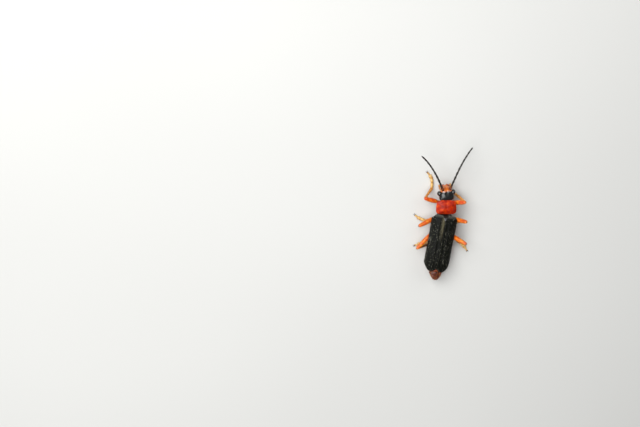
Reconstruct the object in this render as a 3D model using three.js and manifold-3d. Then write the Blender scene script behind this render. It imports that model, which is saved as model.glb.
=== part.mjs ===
// A soldier beetle standing at rest on six feet, life size, in millimetres.
// The beetle faces -Y, its left side is +X, and the floor is the plane Z = 0.
// Shapes are laid out from the middle of the wing-case base. The whole is shifted at the end,
// so that the origin is on the floor under the middle of the model.
import * as THREE from "three";
import { mergeVertices } from "three/addons/utils/BufferGeometryUtils.js";
import Module from "manifold-3d";

const wasm = await Module();
wasm.setup();

// Driving dimensions
const GAP = 0.05; // left between two pieces that touch
const TIDY = 0.008; // edges shorter than this are closed up after a cut

const ELYTRA = { length: 7.32, base: -0.12, edge: 1.88, wall: 0.45 };
const SCUTELLUM = { length: 0.62, halfWidth: 0.34 };
const PRONOTUM = { length: 1.88, halfWidth: 1.3, middle: -1.19, rim: 2.3, dome: 0.5, wall: 0.46, yaw: 8 };
const HEAD = { back: 1.93, aside: -0.13, yaw: 8, faceAt: 1.3 };
const EYE = { radius: 0.34, out: 0.87, ahead: 1.05, height: 2.0 };
const ABDOMEN = { start: 2.95, end: 7.3, tip: 8.66, halfWidth: 1.54, segments: 6 };

// One entry per antenna article, from the scape to the tip, in length.
const ARTICLES = [0.6, 0.34, 0.52, 0.6, 0.62, 0.62, 0.61, 0.6, 0.58, 0.57, 0.62];
const ARTICLE_HALF = 0.24;
// Sideways angle from straight ahead at the root, its growth per square millimetre of length,
// the rise along the middle and its loss per millimetre, in degrees.
const ANTENNAE = {
  left: { side: 1, spread: 17, curl: 0.6, rise: 17, droop: 0.5 },
  right: { side: -1, spread: 27, curl: 0.55, rise: 7, droop: 3 },
};
const SOCKET = { ahead: 1.32, out: 0.37, height: 2.18, lift: 28 };

// Limb lengths of each pair, and where its hip sits: sideways, tailward and up.
const LEG_PAIRS = {
  front: { femur: 2.45, tibia: 2.05, tarsus: 2.08, hip: [0.6, -1.42, 0.86] },
  mid: { femur: 2.82, tibia: 2.05, tarsus: 2.0, hip: [0.72, 0.5, 0.84] },
  hind: { femur: 3.18, tibia: 2.35, tarsus: 2.0, hip: [0.82, 2.45, 0.84] },
};
// Headings in degrees, 0 straight out from the body and 90 towards the head. lift is the femur's rise,
// curl the turn of the foot from its ankle to its claws, and ankle the height of the tibia's end.
const LEG_POSES = {
  front_left: { pair: "front", side: 1, femur: [13, 25], tibia: 131, tarsus: 84, curl: -44, ankle: 0.42 },
  front_right: { pair: "front", side: -1, femur: [21, 41], tibia: 160, tarsus: 156, curl: 6, ankle: 0.6 },
  mid_left: { pair: "mid", side: 1, femur: [-31, 18], tibia: 162, tarsus: -2, curl: 34, ankle: 0.42 },
  mid_right: { pair: "mid", side: -1, femur: [8, 46], tibia: -140, tarsus: -126, curl: 8, ankle: 1.0 },
  hind_left: { pair: "hind", side: 1, femur: [-51, 16], tibia: 163, tarsus: -8, curl: -24, ankle: 0.42 },
  hind_right: { pair: "hind", side: -1, femur: [-15, 42], tibia: -156, tarsus: -30, curl: -18, ankle: 0.75 },
};
const FEMUR_HALF = 0.3;
const TIBIA_HALF = 0.24;
const FOOT_HEIGHT = 0.2;
// Each tarsal article's share of the foot's length, half width and half height.
const TARSAL = [
  [0.32, 0.24, 0.23],
  [0.19, 0.25, 0.22],
  [0.15, 0.27, 0.21],
  [0.13, 0.33, 0.19],
  [0.21, 0.17, 0.18],
];
const CLAW = { length: 0.42, half: 0.085, spread: 24 };

const COLOURS = {
  black: { color: 0x14130f, roughness: 0.35, metalness: 0 },
  cuticle: { color: 0x1b1c16, roughness: 0.7, metalness: 0 },
  red: { color: 0xd23c0a, roughness: 0.45, metalness: 0 },
  orange: { color: 0xe0761c, roughness: 0.45, metalness: 0 },
  amber: { color: 0xd99a4e, roughness: 0.5, metalness: 0 },
  rust: { color: 0xa63a14, roughness: 0.5, metalness: 0 },
  eye: { color: 0x080808, roughness: 0.15, metalness: 0 },
};

const UP = new THREE.Vector3(0, 0, 1);
const radians = THREE.MathUtils.degToRad;

// Shaping and cutting

// Moves every vertex of a three.js shape to the place that the function gives it.
function reshaped(geometry, place) {
  const shape = geometry.clone();
  const position = shape.getAttribute("position");
  const vertex = new THREE.Vector3();
  for (let i = 0; i < position.count; i += 1) {
    vertex.fromBufferAttribute(position, i);
    place(vertex);
    position.setXYZ(i, vertex.x, vertex.y, vertex.z);
  }
  return shape;
}

function toSolid(geometry) {
  const bare = new THREE.BufferGeometry();
  const flat = geometry.index ? geometry.toNonIndexed() : geometry;
  bare.setAttribute("position", flat.getAttribute("position"));
  const merged = mergeVertices(bare, 1e-5);
  const vertProperties = new Float32Array(merged.getAttribute("position").array);
  const triVerts = new Uint32Array(merged.index.array);
  const made = new wasm.Manifold(new wasm.Mesh({ numProp: 3, vertProperties, triVerts }));
  if (made.volume() >= 0) return made;
  for (let i = 0; i < triVerts.length; i += 3) {
    [triVerts[i + 1], triVerts[i + 2]] = [triVerts[i + 2], triVerts[i + 1]];
  }
  return new wasm.Manifold(new wasm.Mesh({ numProp: 3, vertProperties, triVerts }));
}

// The largest closed surface of a solid, as a three.js geometry.
function toGeometry(solid) {
  const bodies = solid.simplify(TIDY).decompose();
  const largest = bodies.reduce((a, b) => (b.volume() > a.volume() ? b : a));
  const mesh = largest.getMesh();
  const geometry = new THREE.BufferGeometry();
  geometry.setAttribute("position", new THREE.BufferAttribute(mesh.vertProperties, 3));
  geometry.setIndex(new THREE.BufferAttribute(mesh.triVerts, 1));
  return geometry;
}

// The pieces of a node joined into one solid, placed by a matrix.
function joined(pieces, matrix = new THREE.Matrix4()) {
  const solids = pieces.map((piece) => toSolid(piece.clone().applyMatrix4(matrix)));
  return solids.reduce((a, b) => a.add(b));
}

// A closed body through a row of rounded sections, each with a centre, a half width and a half height.
// square 2 gives ellipses, and more gives boxier sections. relief adds height at an angle round a section.
function loft(rings, sides, { square = 2, grow = 0, relief = () => 0 } = {}) {
  const last = rings.length - 1;
  const frames = rings.map((ring, i) => {
    const before = rings[Math.max(i - 1, 0)].at;
    const along = rings[Math.min(i + 1, last)].at.clone().sub(before).normalize();
    const side = new THREE.Vector3().crossVectors(UP, along).normalize();
    const top = new THREE.Vector3().crossVectors(along, side);
    return { along, side, top };
  });
  const rounded = (value) => Math.sign(value) * Math.abs(value) ** (2 / square);
  return reshaped(new THREE.CylinderGeometry(1, 1, 1, sides, last), (v) => {
    const i = Math.round((0.5 - v.y) * last);
    const { at, w, h } = rings[i];
    const { along, side, top } = frames[i];
    const raised = relief(Math.atan2(v.z, v.x), at);
    const across = rounded(v.x) * (w + grow + raised);
    const above = rounded(v.z) * (h + grow + raised);
    const beyond = i === 0 ? -grow : i === last ? grow : 0;
    v.copy(at).addScaledVector(side, across).addScaledVector(top, above);
    v.addScaledVector(along, beyond);
  });
}

// Sections of a straight limb from a to b. A station is a share of the length, half width and half height.
function limb(a, b, stations) {
  return stations.map(([share, w, h = w]) => ({ at: a.clone().lerp(b, share), w, h }));
}

// A shield with a plan outline, a top height and an underside height, made of rows from centre to rim.
function plate(around, rows, outline, top, underside) {
  const bands = 2 * rows + 1;
  return reshaped(new THREE.SphereGeometry(1, around, bands), (v) => {
    const row = Math.round((Math.acos(THREE.MathUtils.clamp(v.y, -1, 1)) / Math.PI) * bands);
    const upper = row <= rows;
    const share = ((upper ? row : bands - row) / rows) ** 0.8;
    const rim = outline(Math.atan2(v.z, v.x));
    const x = rim.x * share;
    const y = rim.y * share;
    v.set(x, y, (upper ? top : underside)(x, y, share));
  });
}

function box(low, high) {
  const size = high.map((value, i) => value - low[i]);
  const middle = high.map((value, i) => (value + low[i]) / 2);
  return new THREE.BoxGeometry(...size).translate(...middle);
}

// Nodes

const beetle = new THREE.Group();
const prothorax = new THREE.Group();
prothorax.rotation.z = radians(PRONOTUM.yaw);
const head = new THREE.Group();
head.position.set(HEAD.aside, -HEAD.back, 0);
head.rotation.z = radians(HEAD.yaw);
beetle.add(prothorax);
prothorax.add(head);

// Adds one named piece. shapes(grow) gives its closed pieces, made larger all round by grow.
function add(group, name, colour, shapes) {
  const material = new THREE.MeshStandardMaterial(COLOURS[colour]);
  const mesh = new THREE.Mesh(toGeometry(joined(shapes(0))), material);
  mesh.name = name;
  mesh.userData.shapes = shapes;
  group.add(mesh);
  mesh.updateWorldMatrix(true, false);
  return mesh;
}

// Cuts a piece back from its neighbours, so that it meets them face to face with the gap between.
function seat(mesh, ...neighbours) {
  let body = joined([mesh.geometry], mesh.matrixWorld);
  for (const other of neighbours) {
    body = body.subtract(joined(other.userData.shapes(GAP), other.matrixWorld));
  }
  mesh.geometry = toGeometry(body).applyMatrix4(mesh.matrixWorld.clone().invert());
}

const SIDES = { left: 1, right: -1 };

// Wing cases and scutellum: two thin domed shells that meet along the middle line

// Half height of the wing cases' dome at stations from base to tip, and half width there.
const DOME = [
  [-0.4, 0.3, 1.26],
  [-0.14, 0.44, 1.43],
  [0.0, 0.6, 1.51],
  [0.2, 0.78, 1.58],
  [0.5, 0.92, 1.62],
  [1.2, 0.98, 1.61],
  [2.4, 0.99, 1.58],
  [3.8, 0.99, 1.57],
  [5.2, 0.96, 1.58],
  [6.1, 0.9, 1.58],
  [6.7, 0.8, 1.55],
  [7.3, 0.64, 1.48],
  [7.7, 0.48, 1.3],
];
const COSTAE = { angles: [0.95, 1.25], height: 0.035, width: 0.07 };

function costa(angle) {
  const turn = Math.min(Math.abs(angle), Math.PI - Math.abs(angle));
  return COSTAE.angles.reduce((sum, at) => {
    return sum + COSTAE.height * Math.exp(-(((turn - at) / COSTAE.width) ** 2));
  }, 0);
}

function dome(inset, grow) {
  const relief = inset ? () => 0 : costa;
  const rings = DOME.map(([y, h, w]) => {
    const hollow = Math.max(h - inset, 0.06);
    return { at: new THREE.Vector3(0, y, ELYTRA.edge), w: w - inset, h: hollow };
  });
  return toSolid(loft(rings, 44, { square: 2.5, grow, relief }));
}

// Plan outline of the left wing case; side -1 mirrors it, and grow widens it.
function elytronOutline(side, grow) {
  const seam = GAP / 2 - grow;
  const { length, base } = ELYTRA;
  const notch = SCUTELLUM.halfWidth + GAP - grow;
  const wide = 1.8 + grow;
  const shape = new THREE.Shape();
  shape.moveTo(side * seam, SCUTELLUM.length + GAP - grow);
  shape.lineTo(side * notch, base - grow);
  shape.lineTo(side * 1.16, base - grow);
  shape.quadraticCurveTo(side * (1.62 + grow), base - grow, side * (1.68 + grow), 0.42);
  shape.lineTo(side * wide, 1.4);
  shape.lineTo(side * wide, 5.5);
  shape.bezierCurveTo(
    side * (1.76 + grow), 6.95,
    side * (1.36 + grow), length + grow,
    side * 0.64, length + grow,
  );
  shape.quadraticCurveTo(side * 0.12, length + grow, side * seam, length - 0.42);
  return shape;
}

function prism(shape, low, high) {
  const options = { depth: high - low, bevelEnabled: false, curveSegments: 8 };
  return new THREE.ExtrudeGeometry(shape, options).translate(0, 0, low);
}

for (const [hand, side] of Object.entries(SIDES)) {
  add(beetle, `elytron_${hand}`, "cuticle", (grow) => {
    const outline = prism(elytronOutline(side, grow), ELYTRA.edge - grow, 4);
    const shell = dome(0, grow).subtract(dome(ELYTRA.wall, -grow));
    return [toGeometry(shell.intersect(toSolid(outline)))];
  });
}

add(beetle, "scutellum", "black", () => {
  const { length, halfWidth } = SCUTELLUM;
  const shape = new THREE.Shape();
  shape.moveTo(-halfWidth, ELYTRA.base - 0.1);
  shape.lineTo(halfWidth, ELYTRA.base - 0.1);
  shape.quadraticCurveTo(halfWidth * 0.7, length * 0.6, 0, length);
  shape.quadraticCurveTo(-halfWidth * 0.7, length * 0.6, -halfWidth, ELYTRA.base - 0.1);
  return [toGeometry(dome(0.02, 0).intersect(toSolid(prism(shape, 2.25, 4))))];
});
const elytra = ["elytron_left", "elytron_right", "scutellum"].map((name) => beetle.getObjectByName(name));

// Body under the wing cases: two thorax rings and the banded abdomen with its tip

const trunkRing = (y, w, h, z, x = 0) => ({ at: new THREE.Vector3(x, y, z), w, h });

add(beetle, "mesothorax", "black", (grow) => {
  const rings = [
    trunkRing(-0.28, 0.78, 0.5, 1.66),
    trunkRing(0.1, 1.1, 0.7, 1.6),
    trunkRing(0.8, 1.4, 0.78, 1.6),
    trunkRing(1.42, 1.48, 0.78, 1.6),
  ];
  return [loft(rings, 24, { square: 2.5, grow })];
});
add(beetle, "metathorax", "black", (grow) => {
  const rings = [
    trunkRing(1.42 + GAP, 1.48, 0.78, 1.6),
    trunkRing(2.0, 1.52, 0.8, 1.6),
    trunkRing(2.6, 1.53, 0.74, 1.61),
    trunkRing(2.9, 1.5, 0.66, 1.62),
  ];
  return [loft(rings, 24, { square: 2.5, grow })];
});

// Half width of the abdomen at a share of its length, narrowing to the tip.
function abdomenWidth(share) {
  return ABDOMEN.halfWidth * (1 - 0.34 * share ** 4);
}

add(beetle, "abdomen", "rust", (grow) => {
  const rings = [];
  const step = (ABDOMEN.end - ABDOMEN.start) / ABDOMEN.segments;
  for (let band = 0; band < ABDOMEN.segments; band += 1) {
    for (const [part, flare] of [[0.02, 0.95], [0.94, 1.01]]) {
      const share = (band + part) / ABDOMEN.segments;
      const y = ABDOMEN.start + step * (band + part);
      rings.push(trunkRing(y, abdomenWidth(share) * flare, 0.62 * flare, 1.6, -0.16 * share ** 4));
    }
  }
  return [loft(rings, 24, { square: 2.3, grow })];
});
add(beetle, "abdomen_tip", "rust", (grow) => {
  const rings = [
    trunkRing(ABDOMEN.end + GAP, 0.9, 0.5, 1.6, -0.19),
    trunkRing(7.5, 0.89, 0.49, 1.6, -0.19),
    trunkRing(7.76, 0.85, 0.47, 1.6, -0.24),
    trunkRing(7.82, 0.75, 0.42, 1.6, -0.26),
    trunkRing(8.14, 0.61, 0.36, 1.59, -0.32),
    trunkRing(8.46, 0.37, 0.24, 1.58, -0.38),
    trunkRing(ABDOMEN.tip, 0.15, 0.1, 1.57, -0.41),
  ];
  return [loft(rings, 20, { square: 2.2, grow })];
});
for (const name of ["mesothorax", "metathorax", "abdomen", "abdomen_tip"]) {
  seat(beetle.getObjectByName(name), ...elytra);
}

// Prothorax: the shield, the block under it and the neck

// A rounded rectangle, a little narrower in front, as a point on the rim at an angle.
function shieldRim(angle) {
  const { halfWidth, length } = PRONOTUM;
  const n = 4.2;
  const c = Math.cos(angle);
  const s = Math.sin(angle);
  const reach = (Math.abs(c / halfWidth) ** n + Math.abs(s / (length / 2)) ** n) ** (-1 / n);
  return { x: reach * c * (1 + 0.06 * s), y: reach * s };
}

// Height of the shield: a dome with a raised rim, a middle groove and two swellings at the back.
function shieldTop(x, y, share) {
  const { rim, dome: rise } = PRONOTUM;
  const arch = rise * (1 - share ** 2.4);
  const fold = 0.07 * THREE.MathUtils.smoothstep(share, 0.84, 1);
  const groove = 0.07 * Math.exp(-((x / 0.14) ** 2)) * (1 - share ** 2);
  const swelling = 0.07 * Math.exp(-((Math.abs(x) - 0.55) ** 2 + (y - 0.45) ** 2) / 0.1);
  return rim + arch + fold - groove + swelling;
}

add(prothorax, "pronotum", "red", (grow) => {
  const top = (x, y, share) => shieldTop(x, y, share) + grow;
  const underside = (x, y, share) => {
    return shieldTop(x, y, share) - 0.3 - (PRONOTUM.wall - 0.3) * (1 - share) - grow;
  };
  const outline = (angle) => {
    const rim = shieldRim(angle);
    return { x: rim.x + grow * Math.cos(angle), y: rim.y + grow * Math.sin(angle) };
  };
  return [plate(36, 6, outline, top, underside).translate(0, PRONOTUM.middle, 0)];
});
add(prothorax, "prosternum", "rust", (grow) => {
  const rings = [
    trunkRing(-1.8, 0.64, 0.46, 1.92),
    trunkRing(-1.5, 0.86, 0.64, 1.82),
    trunkRing(-0.9, 0.94, 0.72, 1.76),
    trunkRing(-0.5, 0.88, 0.66, 1.74),
    trunkRing(-0.34, 0.8, 0.56, 1.72),
  ];
  return [loft(rings, 24, { square: 2.4, grow })];
});
const pronotum = prothorax.getObjectByName("pronotum");
const prosternum = prothorax.getObjectByName("prosternum");
seat(prosternum, pronotum);
for (const name of ["mesothorax", "scutellum", "elytron_left", "elytron_right"]) {
  seat(beetle.getObjectByName(name), pronotum, prosternum);
}

// Head: a capsule cut into the black crown and the orange face, with eyes in sockets

const ahead = (forward, x, z) => new THREE.Vector3(x, -forward, z);
// Distance ahead of the neck, half width, half height and height of each section of the capsule.
const CAPSULE = [
  [0.06, 0.82, 0.34, 2.0],
  [0.16, 0.93, 0.4, 2.0],
  [0.36, 0.98, 0.46, 2.0],
  [0.66, 0.99, 0.52, 1.98],
  [0.98, 0.96, 0.55, 1.95],
  [1.2, 0.86, 0.54, 1.91],
  [1.36, 0.75, 0.49, 1.86],
  [1.5, 0.67, 0.42, 1.79],
  [1.62, 0.58, 0.34, 1.71],
  [1.73, 0.49, 0.25, 1.63],
  [1.8, 0.41, 0.16, 1.57],
];
function capsule(grow) {
  const rings = CAPSULE.map(([f, w, h, z]) => ({ at: ahead(f, 0, z), w, h }));
  return toSolid(loft(rings, 24, { square: 2.2, grow }));
}

add(head, "crown", "black", (grow) => {
  const keep = box([-2, -HEAD.faceAt - grow, 0], [2, 1, 4]);
  return [toGeometry(capsule(grow).intersect(toSolid(keep)))];
});
add(head, "face", "orange", (grow) => {
  const keep = box([-2, -3, 0], [2, -HEAD.faceAt - GAP + grow, 4]);
  return [toGeometry(capsule(grow).intersect(toSolid(keep)))];
});
add(head, "neck", "rust", (grow) => {
  const rings = [
    { at: ahead(-0.3, 0, 1.98), w: 0.5, h: 0.36 },
    { at: ahead(0, 0, 2.0), w: 0.5, h: 0.36 },
    { at: ahead(0.16, 0, 2.02), w: 0.46, h: 0.32 },
  ];
  return [loft(rings, 20, { grow })];
});
const crown = head.getObjectByName("crown");
const face = head.getObjectByName("face");
const neck = head.getObjectByName("neck");
seat(neck, crown, prosternum, pronotum);
seat(crown, pronotum);

for (const [hand, side] of Object.entries(SIDES)) {
  const eye = add(head, `eye_${hand}`, "eye", (grow) => {
    const ball = new THREE.SphereGeometry(EYE.radius + grow, 16, 10);
    ball.rotateX(Math.PI / 2).scale(0.9, 1.0, 1.12);
    return [ball.translate(side * EYE.out, -EYE.ahead, EYE.height)];
  });
  seat(crown, eye);
  seat(face, eye);
}

// Mouthparts: lip, jaws and palps

add(head, "labrum", "orange", (grow) => {
  const rings = [
    { at: ahead(1.72, 0, 1.55), w: 0.36, h: 0.13 },
    { at: ahead(1.86, 0, 1.48), w: 0.33, h: 0.12 },
    { at: ahead(1.94, 0, 1.44), w: 0.22, h: 0.08 },
  ];
  return [loft(rings, 14, { square: 2.6, grow })];
});
const labrum = head.getObjectByName("labrum");
seat(labrum, face);

for (const [hand, side] of Object.entries(SIDES)) {
  const jaw = add(head, `mandible_${hand}`, "rust", (grow) => {
    const arc = [
      [1.42, 0.43, 0.15, 0.15],
      [1.64, 0.47, 0.14, 0.13],
      [1.82, 0.4, 0.11, 0.11],
      [1.95, 0.24, 0.08, 0.08],
      [2.0, 0.08, 0.035, 0.035],
    ];
    const rings = arc.map(([f, x, w, h]) => ({ at: ahead(f, side * x, 1.36 + side * 0.02), w, h }));
    return [loft(rings, 8, { grow })];
  });
  seat(jaw, face, labrum);
}
const jaws = ["mandible_left", "mandible_right"].map((name) => head.getObjectByName(name));
seat(jaws[1], jaws[0]);

add(head, "labium", "amber", (grow) => {
  const chin = [
    { at: ahead(1.0, 0, 1.32), w: 0.34, h: 0.14 },
    { at: ahead(1.4, 0, 1.22), w: 0.3, h: 0.14 },
    { at: ahead(1.62, 0, 1.17), w: 0.2, h: 0.1 },
  ];
  const palps = Object.values(SIDES).map((side) => {
    const root = ahead(1.5, side * 0.14, 1.17);
    const tip = ahead(1.92, side * 0.3, 1.02);
    const stations = [[0, 0.1], [0.4, 0.12], [0.5, 0.09], [0.9, 0.15, 0.1], [1, 0.1, 0.06]];
    return loft(limb(root, tip, stations), 8, { grow });
  });
  return [loft(chin, 12, { grow }), ...palps];
});
seat(head.getObjectByName("labium"), crown, face, ...jaws);

for (const [hand, side] of Object.entries(SIDES)) {
  const palp = add(head, `maxillary_palp_${hand}`, "amber", (grow) => {
    const joints = [
      ahead(1.24, side * 0.5, 1.42),
      ahead(1.44, side * 0.67, 1.28),
      ahead(1.66, side * 0.72, 1.2),
      ahead(1.94, side * 0.62, 1.1),
    ];
    const thin = [[0, 0.12], [0.5, 0.15], [0.92, 0.17], [1.02, 0.12]];
    const hatchet = [[0, 0.12], [0.35, 0.2, 0.14], [0.8, 0.25, 0.15], [1, 0.16, 0.09]];
    return [
      loft(limb(joints[0], joints[1], thin), 8, { grow }),
      loft(limb(joints[1], joints[2], thin), 8, { grow }),
      loft(limb(joints[2], joints[3], hatchet), 10, { grow }),
    ];
  });
  seat(palp, crown, face, ...jaws, head.getObjectByName("labium"));
}

// Antennae: eleven articles each, in four lengths

// Points where the articles of one antenna meet, from its socket to its tip.
function antennaJoints({ side, spread, curl, rise, droop }) {
  const at = ahead(SOCKET.ahead, side * SOCKET.out, SOCKET.height);
  const joints = [at.clone()];
  let run = 0;
  for (const length of ARTICLES) {
    const middle = run + length / 2;
    const turn = radians(spread + curl * middle * middle);
    const climb = radians(rise - droop * middle + SOCKET.lift * Math.exp(-2 * middle));
    const flat = Math.cos(climb) * length;
    at.add(ahead(flat * Math.cos(turn), side * flat * Math.sin(turn), length * Math.sin(climb)));
    joints.push(at.clone());
    run += length;
  }
  return joints;
}

// One article: narrow at its root and widest near its end, with the last one drawn to a point.
function article(a, b, half, isLast, grow) {
  const body = [[0.0, 0.7], [0.12, 0.78], [0.55, 0.88], [0.86, 1.0], [1.0, 0.8]];
  const tip = [[0.0, 0.7], [0.15, 0.84], [0.5, 0.9], [0.82, 0.6], [1.0, 0.2]];
  const stations = (isLast ? tip : body).map(([share, w]) => [share, w * half]);
  return loft(limb(a, b, stations), 8, { grow });
}

const LENGTHS = [["scape", 0, 1], ["base", 1, 4], ["middle", 4, 8], ["tip", 8, 11]];
for (const [hand, shape] of Object.entries(ANTENNAE)) {
  const joints = antennaJoints(shape);
  let previous = face;
  for (const [length, first, end] of LENGTHS) {
    const node = add(head, `antenna_${hand}_${length}`, "black", (grow) => {
      const pieces = [];
      for (let i = first; i < end; i += 1) {
        const half = ARTICLE_HALF * (1 - 0.022 * i);
        const start = i === first ? joints[i] : joints[i].clone().lerp(joints[i - 1], 0.06);
        pieces.push(article(start, joints[i + 1], half, i === ARTICLES.length - 1, grow));
      }
      return pieces;
    });
    seat(node, previous);
    previous = node;
  }
}

// Legs: hip, thigh, shin and five-part foot with two claws

const TROCHANTER = 0.36;
const floor = new THREE.Mesh();
floor.userData.shapes = () => [box([-30, -30, -3], [30, 30, 0])];

// A direction in plan and height, from a heading in degrees out from the body and a lift in degrees.
function toward(side, heading, lift = 0) {
  const flat = Math.cos(radians(lift));
  const out = side * flat * Math.cos(radians(heading));
  return new THREE.Vector3(out, -flat * Math.sin(radians(heading)), Math.sin(radians(lift)));
}

// The foot: articles that come down to the floor, each turned a little from the last, and two claws.
function footPieces(start, floorHeight, side, pose, length, grow) {
  const pieces = [];
  const low = floorHeight + FOOT_HEIGHT;
  const high = start.z - low;
  const at = start.clone();
  let run = 0;
  TARSAL.forEach(([share, w, h], i) => {
    const heading = pose.tarsus + (pose.curl * i) / (TARSAL.length - 1);
    const end = at.clone().addScaledVector(toward(side, heading), share * length);
    run += share;
    end.z = low + high * (1 - run) ** 2;
    const last = i === TARSAL.length - 1;
    const stations = last
      ? [[-0.1, 0.7 * w, 0.7 * h], [0.5, 0.9 * w, 0.9 * h], [0.9, w, h], [1.0, 0.6 * w, 0.6 * h]]
      : [[-0.12, 0.6 * w, 0.75 * h], [0.3, 0.8 * w, 0.95 * h], [0.82, w, h], [1.02, 0.7 * w, 0.8 * h]];
    pieces.push(loft(limb(at, end, stations), 8, { grow }));
    at.copy(end);
    if (!last) return;
    for (const turn of [-CLAW.spread, CLAW.spread]) {
      const root = at.clone().addScaledVector(toward(side, heading), -0.08);
      const elbow = root.clone().addScaledVector(toward(side, heading + turn, 14), CLAW.length * 0.55);
      const tip = elbow.clone().addScaledVector(toward(side, heading + turn * 0.6, -34), CLAW.length * 0.5);
      const hook = [
        { at: root, w: CLAW.half, h: CLAW.half },
        { at: elbow, w: CLAW.half * 0.8, h: CLAW.half * 0.8 },
        { at: tip, w: CLAW.half * 0.25, h: CLAW.half * 0.25 },
      ];
      pieces.push(loft(hook, 5, { grow }));
    }
  });
  return pieces;
}

for (const [name, pose] of Object.entries(LEG_POSES)) {
  const { side } = pose;
  const pair = LEG_PAIRS[pose.pair];
  const isFront = pose.pair === "front";
  const leg = new THREE.Group();
  leg.position.set(side * pair.hip[0], pair.hip[1], pair.hip[2]);
  if (isFront) leg.position.applyAxisAngle(UP, prothorax.rotation.z);
  beetle.add(leg);

  const hip = new THREE.Vector3();
  const knee = toward(side, ...pose.femur).multiplyScalar(pair.femur);
  const kneeHeight = pair.hip[2] + knee.z;
  const fall = -THREE.MathUtils.radToDeg(Math.asin((kneeHeight - pose.ankle) / pair.tibia));
  const shin = toward(side, pose.tibia, fall);
  const ankle = knee.clone().addScaledVector(shin, pair.tibia);
  const thigh = knee.clone().normalize();

  const coxa = add(leg, `coxa_${name}`, isFront ? "rust" : "black", (grow) => {
    const root = new THREE.Vector3(-side * 0.3, -0.06, 0.34);
    const stations = [[0, 0.24], [0.3, 0.28], [0.7, 0.3], [1, 0.22]];
    const end = hip.clone().addScaledVector(thigh, 0.02);
    return [loft(limb(root, end, stations), 12, { grow })];
  });
  const femur = add(leg, `femur_${name}`, "red", (grow) => {
    const half = FEMUR_HALF;
    const stations = [
      [0.02, 0.2], [0.1, 0.25], [0.22, 0.94 * half, half], [0.42, half, 1.06 * half],
      [0.62, 0.96 * half, 1.02 * half], [0.82, 0.25, 0.27], [0.94, 0.24, 0.25], [1, 0.15, 0.16],
    ];
    const knob = [[0, 0.18], [0.3, 0.26], [0.75, 0.26], [1, 0.2]];
    const knobEnd = hip.clone().addScaledVector(thigh, TROCHANTER);
    return [
      loft(limb(hip, knee, stations), 12, { grow }),
      loft(limb(hip.clone().addScaledVector(thigh, -0.06), knobEnd, knob), 10, { grow }),
    ];
  });
  const tibia = add(leg, `tibia_${name}`, pose.pair === "hind" ? "black" : "amber", (grow) => {
    const half = TIBIA_HALF;
    const stations = [[0, 0.2], [0.08, half], [0.4, half], [0.8, 1.04 * half], [0.96, 1.1 * half], [1, 0.18]];
    const start = knee.clone().addScaledVector(shin, 0.02);
    const spurs = [-1, 1].map((turn) => {
      const root = knee.clone().lerp(ankle, 0.93);
      const tip = ankle.clone().addScaledVector(toward(side, pose.tarsus + 40 * turn, -22), 0.3);
      return loft(limb(root, tip, [[0, 0.09], [0.6, 0.05], [1, 0.02]]), 5, { grow });
    });
    return [loft(limb(start, ankle, stations), 10, { grow }), ...spurs];
  });
  const foot = add(leg, `tarsus_${name}`, "amber", (grow) => {
    const start = ankle.clone();
    start.z -= 0.21;
    return footPieces(start, -pair.hip[2], side, pose, pair.tarsus, grow);
  });

  const bodies = isFront ? [prosternum, pronotum] : ["mesothorax", "metathorax", "abdomen"];
  const trunk = bodies.map((body) => (isFront ? body : beetle.getObjectByName(body)));
  seat(coxa, ...trunk);
  seat(femur, coxa, ...trunk, ...elytra);
  seat(tibia, femur, floor);
  seat(foot, tibia, floor);
}

// Origin: on the floor under the middle of the whole model
beetle.updateMatrixWorld(true);
const whole = new THREE.Box3().setFromObject(beetle, true);
const middle = whole.getCenter(new THREE.Vector3());
beetle.position.set(-middle.x, -middle.y, -whole.min.z);

const part = new THREE.Group();
part.add(beetle);
part.updateMatrixWorld(true);

export default part;
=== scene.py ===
import math

import bpy
import numpy as np
from mathutils import Matrix, Vector


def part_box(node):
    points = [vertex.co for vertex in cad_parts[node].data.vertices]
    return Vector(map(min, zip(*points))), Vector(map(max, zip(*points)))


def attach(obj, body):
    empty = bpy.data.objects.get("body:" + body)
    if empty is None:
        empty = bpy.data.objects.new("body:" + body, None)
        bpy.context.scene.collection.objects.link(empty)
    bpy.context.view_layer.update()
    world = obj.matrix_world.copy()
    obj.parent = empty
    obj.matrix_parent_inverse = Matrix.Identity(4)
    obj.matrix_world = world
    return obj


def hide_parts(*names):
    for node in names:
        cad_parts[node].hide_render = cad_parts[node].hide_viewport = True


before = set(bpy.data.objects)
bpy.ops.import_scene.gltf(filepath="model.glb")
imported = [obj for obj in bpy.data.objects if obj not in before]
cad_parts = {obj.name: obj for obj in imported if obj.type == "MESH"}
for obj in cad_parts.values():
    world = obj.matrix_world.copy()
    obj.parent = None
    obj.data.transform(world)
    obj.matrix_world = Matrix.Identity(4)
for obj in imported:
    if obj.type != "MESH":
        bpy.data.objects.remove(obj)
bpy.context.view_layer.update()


# Wing cases
# The two soft wing cases of the beetle are thin domed shells of leathery black cuticle. They meet
# along the middle line, notch round the scutellum, end in separate rounded lobes, and carry two
# faint lengthwise ridges each. Each is a grid laid over the dome and given a wall.
MM = 0.001
COAT_PATCH = 0.003

scutellum_low, scutellum_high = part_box("scutellum")
middle_of_base = Vector(
    ((scutellum_low.x + scutellum_high.x) / 2, scutellum_low.y + 0.22 * MM, 0)
)
BODY = Matrix.Translation(middle_of_base)

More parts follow.
